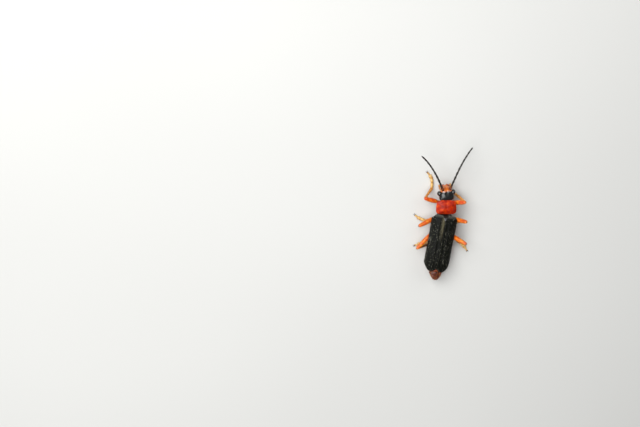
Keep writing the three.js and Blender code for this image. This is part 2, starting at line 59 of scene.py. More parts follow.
# Distance behind the base, half height and half width of the dome, in millimetres.
DOME = np.array([
    (-0.4, 0.30, 1.26),
    (-0.14, 0.44, 1.43),
    (0.0, 0.60, 1.51),
    (0.2, 0.78, 1.58),
    (0.5, 0.92, 1.62),
    (1.2, 0.98, 1.61),
    (2.4, 0.99, 1.58),
    (3.8, 0.99, 1.57),
    (5.2, 0.96, 1.58),
    (6.1, 0.90, 1.58),
    (6.7, 0.80, 1.55),
    (7.3, 0.64, 1.48),
    (7.7, 0.48, 1.30),
])
DOME_EDGE = 1.86


def linear(hex_colour):
    """An sRGB hex value as a linear colour with alpha 1."""
    channels = [int(hex_colour[i : i + 2], 16) / 255 for i in (1, 3, 5)]
    bent = [c / 12.92 if c <= 0.04045 else ((c + 0.055) / 1.055) ** 2.4 for c in channels]
    return (*bent, 1.0)


def add_node(tree, kind, inputs, stops=(), feeds=None, **settings):
    """Adds a node with its settings. An input is a value, or the socket that feeds it. A stop of a
    colour ramp is a position and a hex colour. Feeds gives the socket that takes each output."""
    made = tree.nodes.new(kind)
    for name, value in settings.items():
        setattr(made, name, value)
    for socket, value in inputs.items():
        if isinstance(value, bpy.types.NodeSocket):
            tree.links.new(value, made.inputs[socket])
        else:
            made.inputs[socket].default_value = value
    for place, _ in stops[1:-1]:
        made.color_ramp.elements.new(place)
    for i, (place, colour) in enumerate(stops):
        made.color_ramp.elements[i].position = place
        made.color_ramp.elements[i].color = linear(colour)
    for name, socket in (feeds or {}).items():
        tree.links.new(made.outputs[name], socket)
    return made


def cuticle(name, roughness, coat=0.0, coat_roughness=0.2, sheen=0.0):
    """An empty material for insect cuticle: its tree, its shader and its millimetre coordinates."""
    material = bpy.data.materials.new(name)
    material.use_nodes = True
    tree = material.node_tree
    shader = tree.nodes["Principled BSDF"]
    shader.inputs["IOR"].default_value = 1.56
    shader.inputs["Roughness"].default_value = roughness
    shader.inputs["Coat Weight"].default_value = coat
    shader.inputs["Coat Roughness"].default_value = coat_roughness
    shader.inputs["Sheen Weight"].default_value = sheen
    local = add_node(tree, "ShaderNodeAttribute", {}, attribute_name="local")
    return material, tree, shader, local.outputs["Vector"]


def remember_place(piece):
    """Keeps each vertex's place in millimetres, for patterns that must not move with the piece."""
    mesh = piece.data
    place = np.empty(len(mesh.vertices) * 3)
    mesh.vertices.foreach_get("co", place)
    local = mesh.attributes.new("local", "FLOAT_VECTOR", "POINT")
    local.data.foreach_set("vector", place)


def select_only(*pieces):
    bpy.ops.object.select_all(action="DESELECT")
    for piece in pieces:
        piece.select_set(True)
    bpy.context.view_layer.objects.active = pieces[0]


def apply_modifier(piece, kind, **settings):
    modifier = piece.modifiers.new(kind.title(), kind)
    for name, value in settings.items():
        setattr(modifier, name, value)
    select_only(piece)
    bpy.ops.object.modifier_apply(modifier=modifier.name)


def smoothed(piece, levels):
    apply_modifier(piece, "SUBSURF", levels=levels, render_levels=levels)
    return piece


def finish_piece(piece, place, material, nodes):
    """Puts a piece modelled in millimetres in its place, in metres, and ties it to the solids it stands for."""
    piece.data.transform(place @ Matrix.Scale(MM, 4))
    piece.data.materials.clear()
    piece.data.materials.append(material)
    select_only(piece)
    bpy.ops.object.shade_smooth_by_angle(angle=math.radians(50))
    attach(piece, "root")
    if nodes:
        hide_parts(*nodes)
    return piece


def wing_case_point(side, across, along):
    """A point of the left or right wing case: across from suture to edge, along from base to tip."""
    turn = (1 - across) * math.pi / 2
    spread = math.cos(turn) ** 0.8
    nominal = 0.025 + 1.58 * spread
    if nominal < 0.39:
        start = 0.67 - 0.79 * (nominal - 0.025) / 0.365
    else:
        start = -0.12 + 0.52 * (max(nominal - 1.16, 0) / 0.44) ** 2.2
    if nominal < 0.64:
        end = 7.3 - 0.42 * ((0.64 - nominal) / 0.62) ** 2.2
    else:
        end = 7.3 - 0.95 * ((nominal - 0.64) / 0.97) ** 3
    y = start + (end - start) * along
    half_height = np.interp(y, DOME[:, 0], DOME[:, 1])
    half_width = np.interp(y, DOME[:, 0], DOME[:, 2])
    ridge = sum(0.03 * math.exp(-(((turn - at) / 0.07) ** 2)) for at in (0.95, 1.25))
    ridge += 0.035 * math.exp(-((across / 0.06) ** 2)) - 0.03 * math.exp(-(((across - 0.12) / 0.07) ** 2))
    ridge *= min(1, along * 6, (1 - along) * 6)
    ridge += 0.03 * math.exp(-(((along - 0.012) / 0.01) ** 2))
    rim = math.exp(-(((1 - across) / 0.03) ** 2))
    x = 0.008 + (half_width - 0.008) * spread + 0.02 * rim
    z = DOME_EDGE + (half_height + ridge) * math.sin(turn) ** 0.8
    return side * x, y, z


wing_black, tree, shader, local = cuticle(
    "leathery black wing-case cuticle, microscopically wrinkled", 0.52
)
# The black lets a little brown through where the cuticle is thin, and its wrinkles break up the gloss.
wrinkles = add_node(tree, "ShaderNodeTexNoise", {"Vector": local, "Scale": 9.0, "Detail": 6.0})
grain = add_node(tree, "ShaderNodeTexVoronoi", {"Vector": local, "Scale": 16.0}, feature="SMOOTH_F1")
tone = add_node(
    tree, "ShaderNodeValToRGB", {"Fac": wrinkles.outputs["Fac"]},
    stops=[(0.3, "#040503"), (0.5, "#080905"), (0.72, "#10120b")],
)
parts = add_node(tree, "ShaderNodeSeparateXYZ", {"Vector": local})
# Painted reflection: a grey-brown stripe beside the suture at the front of the left case only, where a light's sheen
# falls.
inward = add_node(
    tree, "ShaderNodeMapRange",
    {"Value": parts.outputs["X"], "From Min": 0.6, "From Max": 0.14},
    interpolation_type="SMOOTHSTEP",
)
forward = add_node(
    tree, "ShaderNodeMapRange",
    {"Value": parts.outputs["Y"], "From Min": 3.6, "From Max": 0.8},
    interpolation_type="SMOOTHSTEP",
)
on_left = add_node(
    tree, "ShaderNodeMapRange", {"Value": parts.outputs["X"], "From Min": 0.0, "From Max": 0.12}
)
left_sheen_mask = add_node(
    tree, "ShaderNodeMath", {0: inward.outputs["Result"], 1: on_left.outputs["Result"]},
    operation="MULTIPLY",
)
stripe = add_node(
    tree, "ShaderNodeMath", {0: left_sheen_mask.outputs["Value"], 1: forward.outputs["Result"]},
    operation="MULTIPLY",
)
painted_sheen_stripe = add_node(
    tree, "ShaderNodeMix", {"Factor": stripe.outputs["Value"], "A": tone.outputs["Color"], "B": linear("#5c563f")},
    data_type="RGBA",
)
# Painted sheen: the front slope of both cases is greyed as if it reflected the sky.
base_sheen_mask = add_node(
    tree, "ShaderNodeMapRange", {"Value": parts.outputs["Y"], "From Min": 0.3, "From Max": -0.1},
    interpolation_type="SMOOTHSTEP",
)
add_node(
    tree, "ShaderNodeMix",
    {"Factor": base_sheen_mask.outputs["Result"], "A": painted_sheen_stripe.outputs[2], "B": linear("#5a5a54")},
    feeds={2: shader.inputs["Base Color"]}, data_type="RGBA",
)
shader.inputs["Specular IOR Level"].default_value = 0.14
bumpy = add_node(
    tree, "ShaderNodeMath",
    {0: wrinkles.outputs["Fac"], 1: grain.outputs["Distance"]}, operation="ADD",
)
add_node(
    tree, "ShaderNodeBump",
    {"Height": bumpy.outputs["Value"], "Distance": 0.018 * MM, "Strength": 0.8},
    feeds={"Normal": shader.inputs["Normal"]},
)

wing_cases = {}
for hand, side in (("left", 1), ("right", -1)):
    bpy.ops.object.select_all(action="DESELECT")
    bpy.ops.mesh.primitive_grid_add(x_subdivisions=34, y_subdivisions=110, size=2)
    case = bpy.context.object
    case.name = f"wing_case_{hand}"
    turn = case.data.attributes.new("turn", "FLOAT_VECTOR", "POINT")
    for vertex in case.data.vertices:
        across, along = (vertex.co.x + 1) / 2, (vertex.co.y + 1) / 2
        angle = (0.05 + 0.9 * across) * math.pi
        turn.data[vertex.index].vector = (math.cos(angle), math.sin(angle), along)
        vertex.co = wing_case_point(side, across, along)
    if side < 0:
        bpy.ops.object.mode_set(mode="EDIT")
        bpy.ops.mesh.select_all(action="SELECT")
        bpy.ops.mesh.flip_normals()
        bpy.ops.object.mode_set(mode="OBJECT")
    apply_modifier(case, "SOLIDIFY", thickness=0.14, offset=-1)
    smoothed(case, 1)
    remember_place(case)
    wing_cases[hand] = finish_piece(case, BODY, wing_black, [f"elytron_{hand}"])


# Scutellum
# The small black triangle between the bases of the wing cases is a fixed plate of the thorax. It is
# a grid narrowed towards its rounded point, slightly domed, with a wall.
shell_black, tree, shader, local = cuticle(
    "glossy black beetle cuticle, finely pitted", 0.3, coat=0.45, coat_roughness=0.12
)
# Polished black with a trace of brown, and pits a few hundredths of a millimetre across.
mottle = add_node(tree, "ShaderNodeTexNoise", {"Vector": local, "Scale": 5.0, "Detail": 5.0})
add_node(
    tree, "ShaderNodeValToRGB", {"Fac": mottle.outputs["Fac"]},
    stops=[(0.3, "#070706"), (0.75, "#191711")], feeds={"Color": shader.inputs["Base Color"]},
)
pits = add_node(tree, "ShaderNodeTexVoronoi", {"Vector": local, "Scale": 14.0})
add_node(
    tree, "ShaderNodeBump",
    {"Height": pits.outputs["Distance"], "Distance": 0.012 * MM, "Strength": 0.7},
    feeds={"Normal": shader.inputs["Normal"]},
)

bpy.ops.object.select_all(action="DESELECT")
bpy.ops.mesh.primitive_grid_add(x_subdivisions=12, y_subdivisions=14, size=2)
scutellum = bpy.context.object
scutellum.name = "scutellum_plate"
for vertex in scutellum.data.vertices:
    across, share = vertex.co.x, (vertex.co.y + 1) / 2
    width = 0.32 * (1 - share**1.5) + 0.03
    y = -0.18 + 0.76 * share
    height = np.interp(y, DOME[:, 0], DOME[:, 1])
    vertex.co = (across * width, y, DOME_EDGE + height - 0.02 - 0.03 * across**2)
apply_modifier(scutellum, "SOLIDIFY", thickness=0.08, offset=-1)
smoothed(scutellum, 1)
remember_place(scutellum)
finish_piece(scutellum, BODY, shell_black, ["scutellum"])


# Pronotum
# The red shield over the front of the thorax is one stiff plate: a rounded rectangle, domed, with a
# turned-up rim, a shallow middle groove and two swellings at the back. It is turned 8 degrees.
PROTHORAX = BODY @ Matrix.Rotation(math.radians(8), 4, "Z")
SHIELD = {"half_width": 1.3, "half_length": 0.94, "middle": -1.19, "rim": 2.3}


def shield_point(u, v):
    """A point of the shield from a square grid: its edge follows the rounded rectangle."""
    share = max(abs(u), abs(v))
    angle = math.atan2(v * SHIELD["half_length"], u * SHIELD["half_width"])
    c, s = math.cos(angle), math.sin(angle)
    reach = (abs(c / SHIELD["half_width"]) ** 4.2 + abs(s / SHIELD["half_length"]) ** 4.2) ** (-1 / 4.2)
    x = share * reach * c * (1 + 0.06 * s)
    y = share * reach * s
    rise = min(max((share - 0.82) / 0.18, 0), 1)
    z = SHIELD["rim"] + 0.5 * (1 - share**2.4) + 0.075 * rise * rise * (3 - 2 * rise)
    z -= 0.025 * math.exp(-((x / 0.1) ** 2)) * (1 - share**2)
    z += 0.045 * math.exp(-((abs(x) - 0.55) ** 2 + (y - 0.42) ** 2) / 0.1)
    z -= 0.04 * math.exp(-((y + 0.55) ** 2 / 0.02)) * (1 - share**4)
    return x, y + SHIELD["middle"], z


shield_red, tree, shader, local = cuticle(
    "red-orange pronotum cuticle, satin with fine wrinkles", 0.42
)
# Blood red and orange in random clouds, with a darker line along the rear edge.
cloud = add_node(
    tree, "ShaderNodeTexNoise", {"Vector": local, "Scale": 1.8, "Detail": 8.0, "Roughness": 0.65}
)
tone = add_node(
    tree, "ShaderNodeValToRGB", {"Fac": cloud.outputs["Fac"]},
    stops=[(0.3, "#6c0c00"), (0.5, "#a82000"), (0.7, "#d64c00")],
)
parts = add_node(tree, "ShaderNodeSeparateXYZ", {"Vector": local})
rear = add_node(
    tree, "ShaderNodeMapRange", {"Value": parts.outputs["Y"], "From Min": -0.42, "From Max": -0.27},
    interpolation_type="SMOOTHSTEP",
)
add_node(
    tree, "ShaderNodeMix",
    {"Factor": rear.outputs["Result"], "A": tone.outputs["Color"], "B": linear("#2c0602")},
    feeds={2: shader.inputs["Base Color"]}, data_type="RGBA",
)
shader.inputs["Specular IOR Level"].default_value = 0.18
creases = add_node(tree, "ShaderNodeTexNoise", {"Vector": local, "Scale": 11.0, "Detail": 4.0})
add_node(
    tree, "ShaderNodeBump",
    {"Height": creases.outputs["Fac"], "Distance": 0.03 * MM, "Strength": 0.7},
    feeds={"Normal": shader.inputs["Normal"]},
)

bpy.ops.object.select_all(action="DESELECT")
bpy.ops.mesh.primitive_grid_add(x_subdivisions=56, y_subdivisions=44, size=2)
shield = bpy.context.object
shield.name = "pronotum_shield"
turn = shield.data.attributes.new("turn", "FLOAT_VECTOR", "POINT")
for vertex in shield.data.vertices:
    u, v = vertex.co.x, vertex.co.y
    angle = (0.5 + u * 0.45) * math.pi
    turn.data[vertex.index].vector = (math.cos(angle), math.sin(angle), (v + 1) / 2)
    vertex.co = shield_point(u, v)
apply_modifier(shield, "SOLIDIFY", thickness=0.22, offset=-1)
smoothed(shield, 1)
remember_place(shield)
finish_piece(shield, PROTHORAX, shield_red, ["pronotum"])


# Thorax underside and neck
# The block that carries the front legs, the soft neck, and the two black thorax rings that carry the
# wing cases and the other legs. Each is drawn out section by section from a disc and smoothed.
def drawn_body(name, rings, sides=16, square=2.0, levels=1):
    """A closed body drawn out through rings, each a centre, a half width and a half height."""
    bpy.ops.object.select_all(action="DESELECT")
    bpy.ops.mesh.primitive_circle_add(vertices=sides, radius=1, fill_type="NGON")
    body = bpy.context.object
    body.name = name
    bpy.ops.object.mode_set(mode="EDIT")
    bpy.ops.mesh.select_all(action="SELECT")
    for _ in rings[1:]:
        bpy.ops.mesh.extrude_region_move(TRANSFORM_OT_translate={"value": (0, 0, 1)})
    bpy.ops.object.mode_set(mode="OBJECT")
    centres = [Vector(ring[0]) for ring in rings]
    last = len(rings) - 1
    turn = body.data.attributes.new("turn", "FLOAT_VECTOR", "POINT")
    frames = []
    for i in range(len(rings)):
        ahead = (centres[min(i + 1, last)] - centres[max(i - 1, 0)]).normalized()
        sideways = Vector((0, 0, 1)).cross(ahead).normalized()
        frames.append((sideways, ahead.cross(sideways)))
    for vertex in body.data.vertices:
        i = round(vertex.co.z)
        c, s = vertex.co.x, vertex.co.y
        turn.data[vertex.index].vector = (c, s, i / last)
        sideways, upward = frames[i]
        wide = math.copysign(abs(c) ** (2 / square), c) * rings[i][1]
        high = math.copysign(abs(s) ** (2 / square), s) * rings[i][2]
        vertex.co = centres[i] + sideways * wide + upward * high
    bpy.ops.object.mode_set(mode="EDIT")
    bpy.ops.mesh.select_all(action="SELECT")
    bpy.ops.mesh.normals_make_consistent(inside=False)
    bpy.ops.object.mode_set(mode="OBJECT")
    smoothed(body, levels)
    return body


def joined(name, bodies):
    """Several closed bodies as one mesh."""
    select_only(*bodies)
    bpy.ops.object.join()
    bodies[0].name = name
    return bodies[0]


def orange_cuticle(name, stops, roughness=0.4, dark_from=2.0, dark="#1a0d05"):
    """Orange or yellow cuticle, mottled between stops, darkening past a share of the limb's length."""
    material, tree, shader, local = cuticle(name, roughness, coat=0.2, coat_roughness=0.25)
    cloud = add_node(tree, "ShaderNodeTexNoise", {"Vector": local, "Scale": 3.2, "Detail": 4.0})
    tone = add_node(tree, "ShaderNodeValToRGB", {"Fac": cloud.outputs["Fac"]}, stops)
    turn = add_node(tree, "ShaderNodeAttribute", {}, attribute_name="turn")
    share = add_node(tree, "ShaderNodeSeparateXYZ", {"Vector": turn.outputs["Vector"]})
    limits = {"Value": share.outputs["Z"], "From Min": dark_from, "From Max": dark_from + 0.1}
    past = add_node(tree, "ShaderNodeMapRange", limits, interpolation_type="SMOOTHSTEP")
    colours = {"Factor": past.outputs["Result"], "A": tone.outputs["Color"], "B": linear(dark)}
    add_node(
        tree, "ShaderNodeMix", colours, feeds={2: shader.inputs["Base Color"]}, data_type="RGBA"
    )
    shader.inputs["Subsurface Weight"].default_value = 0.15
    shader.inputs["Subsurface Scale"].default_value = 0.15 * MM
    wrinkles = add_node(tree, "ShaderNodeTexNoise", {"Vector": local, "Scale": 14.0, "Detail": 3.0})
    add_node(
        tree, "ShaderNodeBump",
        {"Height": wrinkles.outputs["Fac"], "Distance": 0.02 * MM, "Strength": 0.6},
        feeds={"Normal": shader.inputs["Normal"]},
    )
    return material


rust = orange_cuticle(
    "red-brown underside cuticle, satin", [(0.3, "#7a2408"), (0.72, "#b8481a")]
)

prosternum = drawn_body("prosternum_block", [
    ((0, -1.74, 1.94), 0.6, 0.42),
    ((0, -1.5, 1.84), 0.8, 0.6),
    ((0, -1.2, 1.79), 0.88, 0.66),
    ((0, -0.9, 1.76), 0.9, 0.68),
    ((0, -0.5, 1.75), 0.84, 0.62),
    ((0, -0.38, 1.73), 0.76, 0.54),
], sides=24, square=2.4)
remember_place(prosternum)
finish_piece(prosternum, PROTHORAX, rust, ["prosternum"])

middle_ring = drawn_body("mesothorax_ring", [
    ((0, -0.24, 1.66), 0.72, 0.46),
    ((0, 0.1, 1.6), 1.04, 0.66),
    ((0, 0.7, 1.6), 1.34, 0.74),
    ((0, 1.2, 1.6), 1.42, 0.76),
    ((0, 1.4, 1.6), 1.36, 0.7),
], sides=28, square=2.5)
remember_place(middle_ring)
finish_piece(middle_ring, BODY, shell_black, ["mesothorax"])

rear_ring = drawn_body("metathorax_ring", [
    ((0, 1.44, 1.6), 1.38, 0.7),
    ((0, 1.6, 1.6), 1.46, 0.76),
    ((0, 2.1, 1.6), 1.48, 0.77),
    ((0, 2.6, 1.61), 1.48, 0.72),
    ((0, 2.88, 1.62), 1.44, 0.62),
], sides=28, square=2.5)
remember_place(rear_ring)
finish_piece(rear_ring, BODY, shell_black, ["metathorax"])


# Abdomen
# Six flexible bands that overlap like roof tiles under the wing cases, and a pointed tip that sticks
# out behind them, bent a little to the right. The margins are orange and the middle is darker.
belly, tree, shader, local = cuticle("orange-brown abdomen cuticle, leathery", 0.45, coat=0.15)
# Orange on the soft side margins, brown to black in the middle of each band, pale at its hind edge.
parts = add_node(tree, "ShaderNodeSeparateXYZ", {"Vector": local})
off_middle = add_node(tree, "ShaderNodeMath", {0: parts.outputs["X"]}, operation="ABSOLUTE")
outward = add_node(
    tree, "ShaderNodeMapRange",
    {"Value": off_middle.outputs["Value"], "From Min": 0.75, "From Max": 1.2},
    interpolation_type="SMOOTHSTEP",
)
behind = add_node(
    tree, "ShaderNodeMapRange", {"Value": parts.outputs["Y"], "From Min": 6.9, "From Max": 7.4}
)
bright = add_node(
    tree, "ShaderNodeMath", {0: outward.outputs["Result"], 1: behind.outputs["Result"]},
    operation="MAXIMUM",
)
cloud = add_node(tree, "ShaderNodeTexNoise", {"Vector": local, "Scale": 3.0, "Detail": 5.0})
margin = add_node(
    tree, "ShaderNodeValToRGB", {"Fac": cloud.outputs["Fac"]},
    stops=[(0.3, "#8a2206"), (0.7, "#d9621a")],
)
add_node(
    tree, "ShaderNodeMix",
    {"Factor": bright.outputs["Value"], "A": linear("#241208"), "B": margin.outputs["Color"]},
    feeds={2: shader.inputs["Base Color"]}, data_type="RGBA",
)
shader.inputs["Subsurface Weight"].default_value = 0.1
shader.inputs["Subsurface Scale"].default_value = 0.15 * MM
folds = add_node(tree, "ShaderNodeTexNoise", {"Vector": local, "Scale": 12.0, "Detail": 4.0})
add_node(
    tree, "ShaderNodeBump",
    {"Height": folds.outputs["Fac"], "Distance": 0.025 * MM, "Strength": 0.7},
    feeds={"Normal": shader.inputs["Normal"]},
)

bands = []
BAND = (7.3 - 2.95) / 6
for i in range(6):
    rings = []
    for part, flare in ((0.02, 0.9), (0.2, 0.94), (0.55, 0.98), (0.86, 1.0), (1.0, 0.985), (1.06, 0.93)):
        share = (i + part) / 6
        wide = 1.53 * (1 - 0.34 * min(share, 1) ** 4) * flare
        rings.append(((-0.16 * share**4, 2.95 + BAND * (i + part), 1.6), wide, 0.6 * flare))
    bands.append(drawn_body(f"band_{i}", rings, sides=32, square=2.3))
abdomen = joined("abdomen_bands", bands)
remember_place(abdomen)
finish_piece(abdomen, BODY, belly, ["abdomen"])

tip = drawn_body("abdomen_point", [
    ((-0.19, 7.36, 1.6), 0.86, 0.47),
    ((-0.19, 7.5, 1.6), 0.86, 0.47),
    ((-0.23, 7.72, 1.6), 0.82, 0.45),
    ((-0.25, 7.78, 1.6), 0.74, 0.41),
    ((-0.28, 7.98, 1.6), 0.69, 0.39),
    ((-0.32, 8.16, 1.59), 0.59, 0.34),
    ((-0.37, 8.42, 1.58), 0.4, 0.25),
    ((-0.41, 8.6, 1.57), 0.19, 0.13),
], sides=24, square=2.2)
remember_place(tip)
# Red-brown cuticle with painted shade: the tail plate's colours are darkened as if it lay in shadow.
tail_red_and_painted_shade = orange_cuticle(
    "dark red-brown tail plate cuticle, satin", [(0.3, "#240702"), (0.5, "#4c1204"), (0.72, "#7a2a0c")]
)
finish_piece(tip, BODY, tail_red_and_painted_shade, ["abdomen_tip"])


# Head
# One hard capsule, black behind and orange in front of the eyes, held low and turned 16 degrees in
# all. It is drawn out section by section, and its antennal sockets are pressed up as low rings.
HEAD = PROTHORAX @ Matrix.Translation((-0.13 * MM, -1.93 * MM, 0)) @ Matrix.Rotation(math.radians(8), 4, "Z")
SOCKET = {"ahead": 1.32, "out": 0.37, "height": 2.18}

head_shell, tree, shader, local = cuticle(
    "polished head cuticle, black behind and orange in front", 0.26, coat=0.9, coat_roughness=0.14
)
# Nearly mirror-smooth black on the crown, turning to orange at the level of the antennae.
parts = add_node(tree, "ShaderNodeSeparateXYZ", {"Vector": local})
cloud = add_node(tree, "ShaderNodeTexNoise", {"Vector": local, "Scale": 3.5, "Detail": 4.0})
edge = add_node(
    tree, "ShaderNodeMath", {0: cloud.outputs["Fac"], 1: 0.3, 2: parts.outputs["Y"]},
    operation="MULTIPLY_ADD",
)
front = add_node(
    tree, "ShaderNodeMapRange", {"Value": edge.outputs["Value"], "From Min": -1.05, "From Max": -1.2},
    interpolation_type="SMOOTHSTEP",
)
orange = add_node(
    tree, "ShaderNodeValToRGB", {"Fac": cloud.outputs["Fac"]},
    stops=[(0.3, "#983806"), (0.72, "#d87416")],
)
black = add_node(
    tree, "ShaderNodeValToRGB", {"Fac": cloud.outputs["Fac"]},
    stops=[(0.3, "#060606"), (0.75, "#191816")],
)
add_node(
    tree, "ShaderNodeMix",
    {"Factor": front.outputs["Result"], "A": black.outputs["Color"], "B": orange.outputs["Color"]},
    feeds={2: shader.inputs["Base Color"]}, data_type="RGBA",
)
pits = add_node(tree, "ShaderNodeTexVoronoi", {"Vector": local, "Scale": 12.0})
add_node(
    tree, "ShaderNodeBump",
    {"Height": pits.outputs["Distance"], "Distance": 0.005 * MM, "Strength": 0.5},
    feeds={"Normal": shader.inputs["Normal"]},
)

head = drawn_body("head_capsule", [
    ((0, -ahead, height), wide - 0.02, high - 0.02)
    for ahead, wide, high, height in (
        (0.08, 0.8, 0.33, 2.0), (0.16, 0.92, 0.4, 2.0), (0.36, 0.98, 0.46, 2.0),
        (0.66, 0.99, 0.52, 1.98), (0.98, 0.96, 0.55, 1.95), (1.2, 0.86, 0.54, 1.91),
        (1.36, 0.75, 0.49, 1.86), (1.5, 0.67, 0.42, 1.79), (1.62, 0.58, 0.34, 1.71),
        (1.73, 0.48, 0.25, 1.63), (1.79, 0.4, 0.16, 1.57),
    )
], sides=32, square=2.2, levels=2)
for vertex in head.data.vertices:
    place = vertex.co
    if place.z < 1.8:
        continue
    for side in (1, -1):
        away = math.hypot(place.x - side * SOCKET["out"], place.y + SOCKET["ahead"])
        place.z += 0.05 * math.exp(-(((away - 0.17) / 0.05) ** 2))
    between = math.exp(-((place.x / 0.22) ** 2 + ((place.y + 1.0) / 0.3) ** 2))
    place.z -= 0.035 * between
remember_place(head)
finish_piece(head, HEAD, head_shell, ["crown", "face"])

neck = drawn_body("neck_fold", [
    ((0, 0.26, 1.98), 0.44, 0.32),
    ((0, 0.1, 2.0), 0.47, 0.34),
    ((0, 0.02, 2.0), 0.43, 0.3),
    ((0, -0.06, 2.02), 0.46, 0.32),
    ((0, -0.15, 2.02), 0.42, 0.28),
], sides=24)
remember_place(neck)
finish_piece(neck, HEAD, rust, ["neck"])


# Eyes
# Two bulging compound eyes at the sides of the head, glossy black, made of thousands of facets.
# Each is a ball of triangles with every one inset and pushed in, so the facets catch the light.
eye_black, tree, shader, local = cuticle(
    "black compound-eye lens, glossy, facets 0.04 mm", 0.12, coat=0.8, coat_roughness=0.05
)
# Wet black with a faint brown depth. The facet walls are the mesh and this fine cell bump.
depth = add_node(tree, "ShaderNodeTexNoise", {"Vector": local, "Scale": 4.0})
add_node(
    tree, "ShaderNodeValToRGB", {"Fac": depth.outputs["Fac"]},
    stops=[(0.3, "#040404"), (0.8, "#14100c")], feeds={"Color": shader.inputs["Base Color"]},
)
cells = add_node(tree, "ShaderNodeTexVoronoi", {"Vector": local, "Scale": 25.0})
add_node(
    tree, "ShaderNodeBump",
    {"Height": cells.outputs["Distance"], "Distance": 0.002 * MM, "Strength": 0.4},
    feeds={"Normal": shader.inputs["Normal"]},
)

for hand, side in (("left", 1), ("right", -1)):
    bpy.ops.object.select_all(action="DESELECT")
    bpy.ops.mesh.primitive_ico_sphere_add(subdivisions=4, radius=0.335)
    eye = bpy.context.object
    eye.name = f"compound_eye_{hand}"
    bpy.ops.object.mode_set(mode="EDIT")
    bpy.ops.mesh.select_all(action="SELECT")
    bpy.ops.mesh.inset(thickness=0.003, depth=0.0015, use_individual=True)
    bpy.ops.object.mode_set(mode="OBJECT")
    shape = Matrix.Translation((side * 0.87, -1.05, 2.0)) @ Matrix.Diagonal((0.9, 1.0, 1.12, 1))
    eye.data.transform(shape)
    remember_place(eye)
    finish_piece(eye, HEAD, eye_black, [f"eye_{hand}"])


# Mouthparts
# An orange lip over two curved brown jaws that cross at their points, a pale chin plate with its two
# small feelers, and outside them the longer palps, three joints each, the last one hatchet-shaped.
lip_orange = orange_cuticle("orange lip cuticle", [(0.3, "#b8500f"), (0.72, "#e88a34")])
palp_pale = orange_cuticle(
    "yellow-brown palp cuticle", [(0.3, "#a8641c"), (0.72, "#dca050")], dark_from=0.82
)

lip = drawn_body("upper_lip", [
    ((0, -1.7, 1.56), 0.34, 0.11),
    ((0, -1.79, 1.51), 0.34, 0.12),
    ((0, -1.87, 1.47), 0.3, 0.1),
    ((0, -1.92, 1.45), 0.2, 0.06),
], sides=18, square=2.6)
remember_place(lip)
finish_piece(lip, HEAD, lip_orange, ["labrum"])

for hand, side in (("left", 1), ("right", -1)):
    level = 1.36 + side * 0.02
    jaw = drawn_body(f"jaw_{hand}", [
        ((side * 0.43, -1.44, level), 0.14, 0.13),
        ((side * 0.47, -1.62, level), 0.13, 0.12),
        ((side * 0.45, -1.74, level), 0.11, 0.11),
        ((side * 0.38, -1.84, level), 0.1, 0.09),
        ((side * 0.24, -1.94, level), 0.07, 0.06),
        ((side * 0.09, -1.99, level), 0.03, 0.03),
    ], sides=12)
    remember_place(jaw)
    finish_piece(jaw, HEAD, rust, [f"mandible_{hand}"])

chin_parts = [drawn_body("chin", [
    ((0, -1.02, 1.32), 0.3, 0.11),
    ((0, -1.2, 1.27), 0.33, 0.13),
    ((0, -1.4, 1.22), 0.28, 0.12),
    ((0, -1.6, 1.17), 0.18, 0.08),
], sides=18)]
for side in (1, -1):
    chin_parts.append(drawn_body("small_feeler", [
        ((side * 0.14, -1.5, 1.17), 0.07, 0.07),
        ((side * 0.2, -1.66, 1.11), 0.09, 0.08),
        ((side * 0.22, -1.72, 1.09), 0.06, 0.06),
        ((side * 0.28, -1.86, 1.04), 0.12, 0.07),
        ((side * 0.3, -1.92, 1.02), 0.08, 0.04),
    ], sides=12))
chin = joined("chin_and_feelers", chin_parts)
remember_place(chin)
finish_piece(chin, HEAD, palp_pale, ["labium"])

for hand, side in (("left", 1), ("right", -1)):
    corners = [
        Vector((side * x, -ahead, height))
        for x, ahead, height in ((0.5, 1.26, 1.42), (0.67, 1.44, 1.28), (0.72, 1.66, 1.2), (0.62, 1.92, 1.1))
    ]
    palp_parts = []
    for i in range(3):
        a, b = corners[i], corners[i + 1]
        stations = [(0, 0.08, 0.08), (0.2, 0.09, 0.09), (0.8, 0.13, 0.12), (1.0, 0.1, 0.09)]
        if i == 2:
            stations = [(0, 0.08, 0.08), (0.3, 0.15, 0.1), (0.75, 0.21, 0.12), (1.0, 0.13, 0.06)]
        rings = [(a.lerp(b, share), wide, high) for share, wide, high in stations]
        palp_parts.append(drawn_body("palp_joint", rings, sides=12))
    palp = joined(f"palp_{hand}", palp_parts)
    remember_place(palp)
    finish_piece(palp, HEAD, palp_pale, [f"maxillary_palp_{hand}"])


# Antennae
# Eleven joints each, thread-like: an orange-brown scape in a socket on the brow, then black joints
# that are narrow at the root and swell a little to the end. The left one rises, the right lies level.
ARTICLES = (0.6, 0.34, 0.52, 0.6, 0.62, 0.62, 0.61, 0.6, 0.58, 0.57, 0.62)
antenna_black, tree, shader, local = cuticle("dull black antenna cuticle, brown at the root", 0.5)
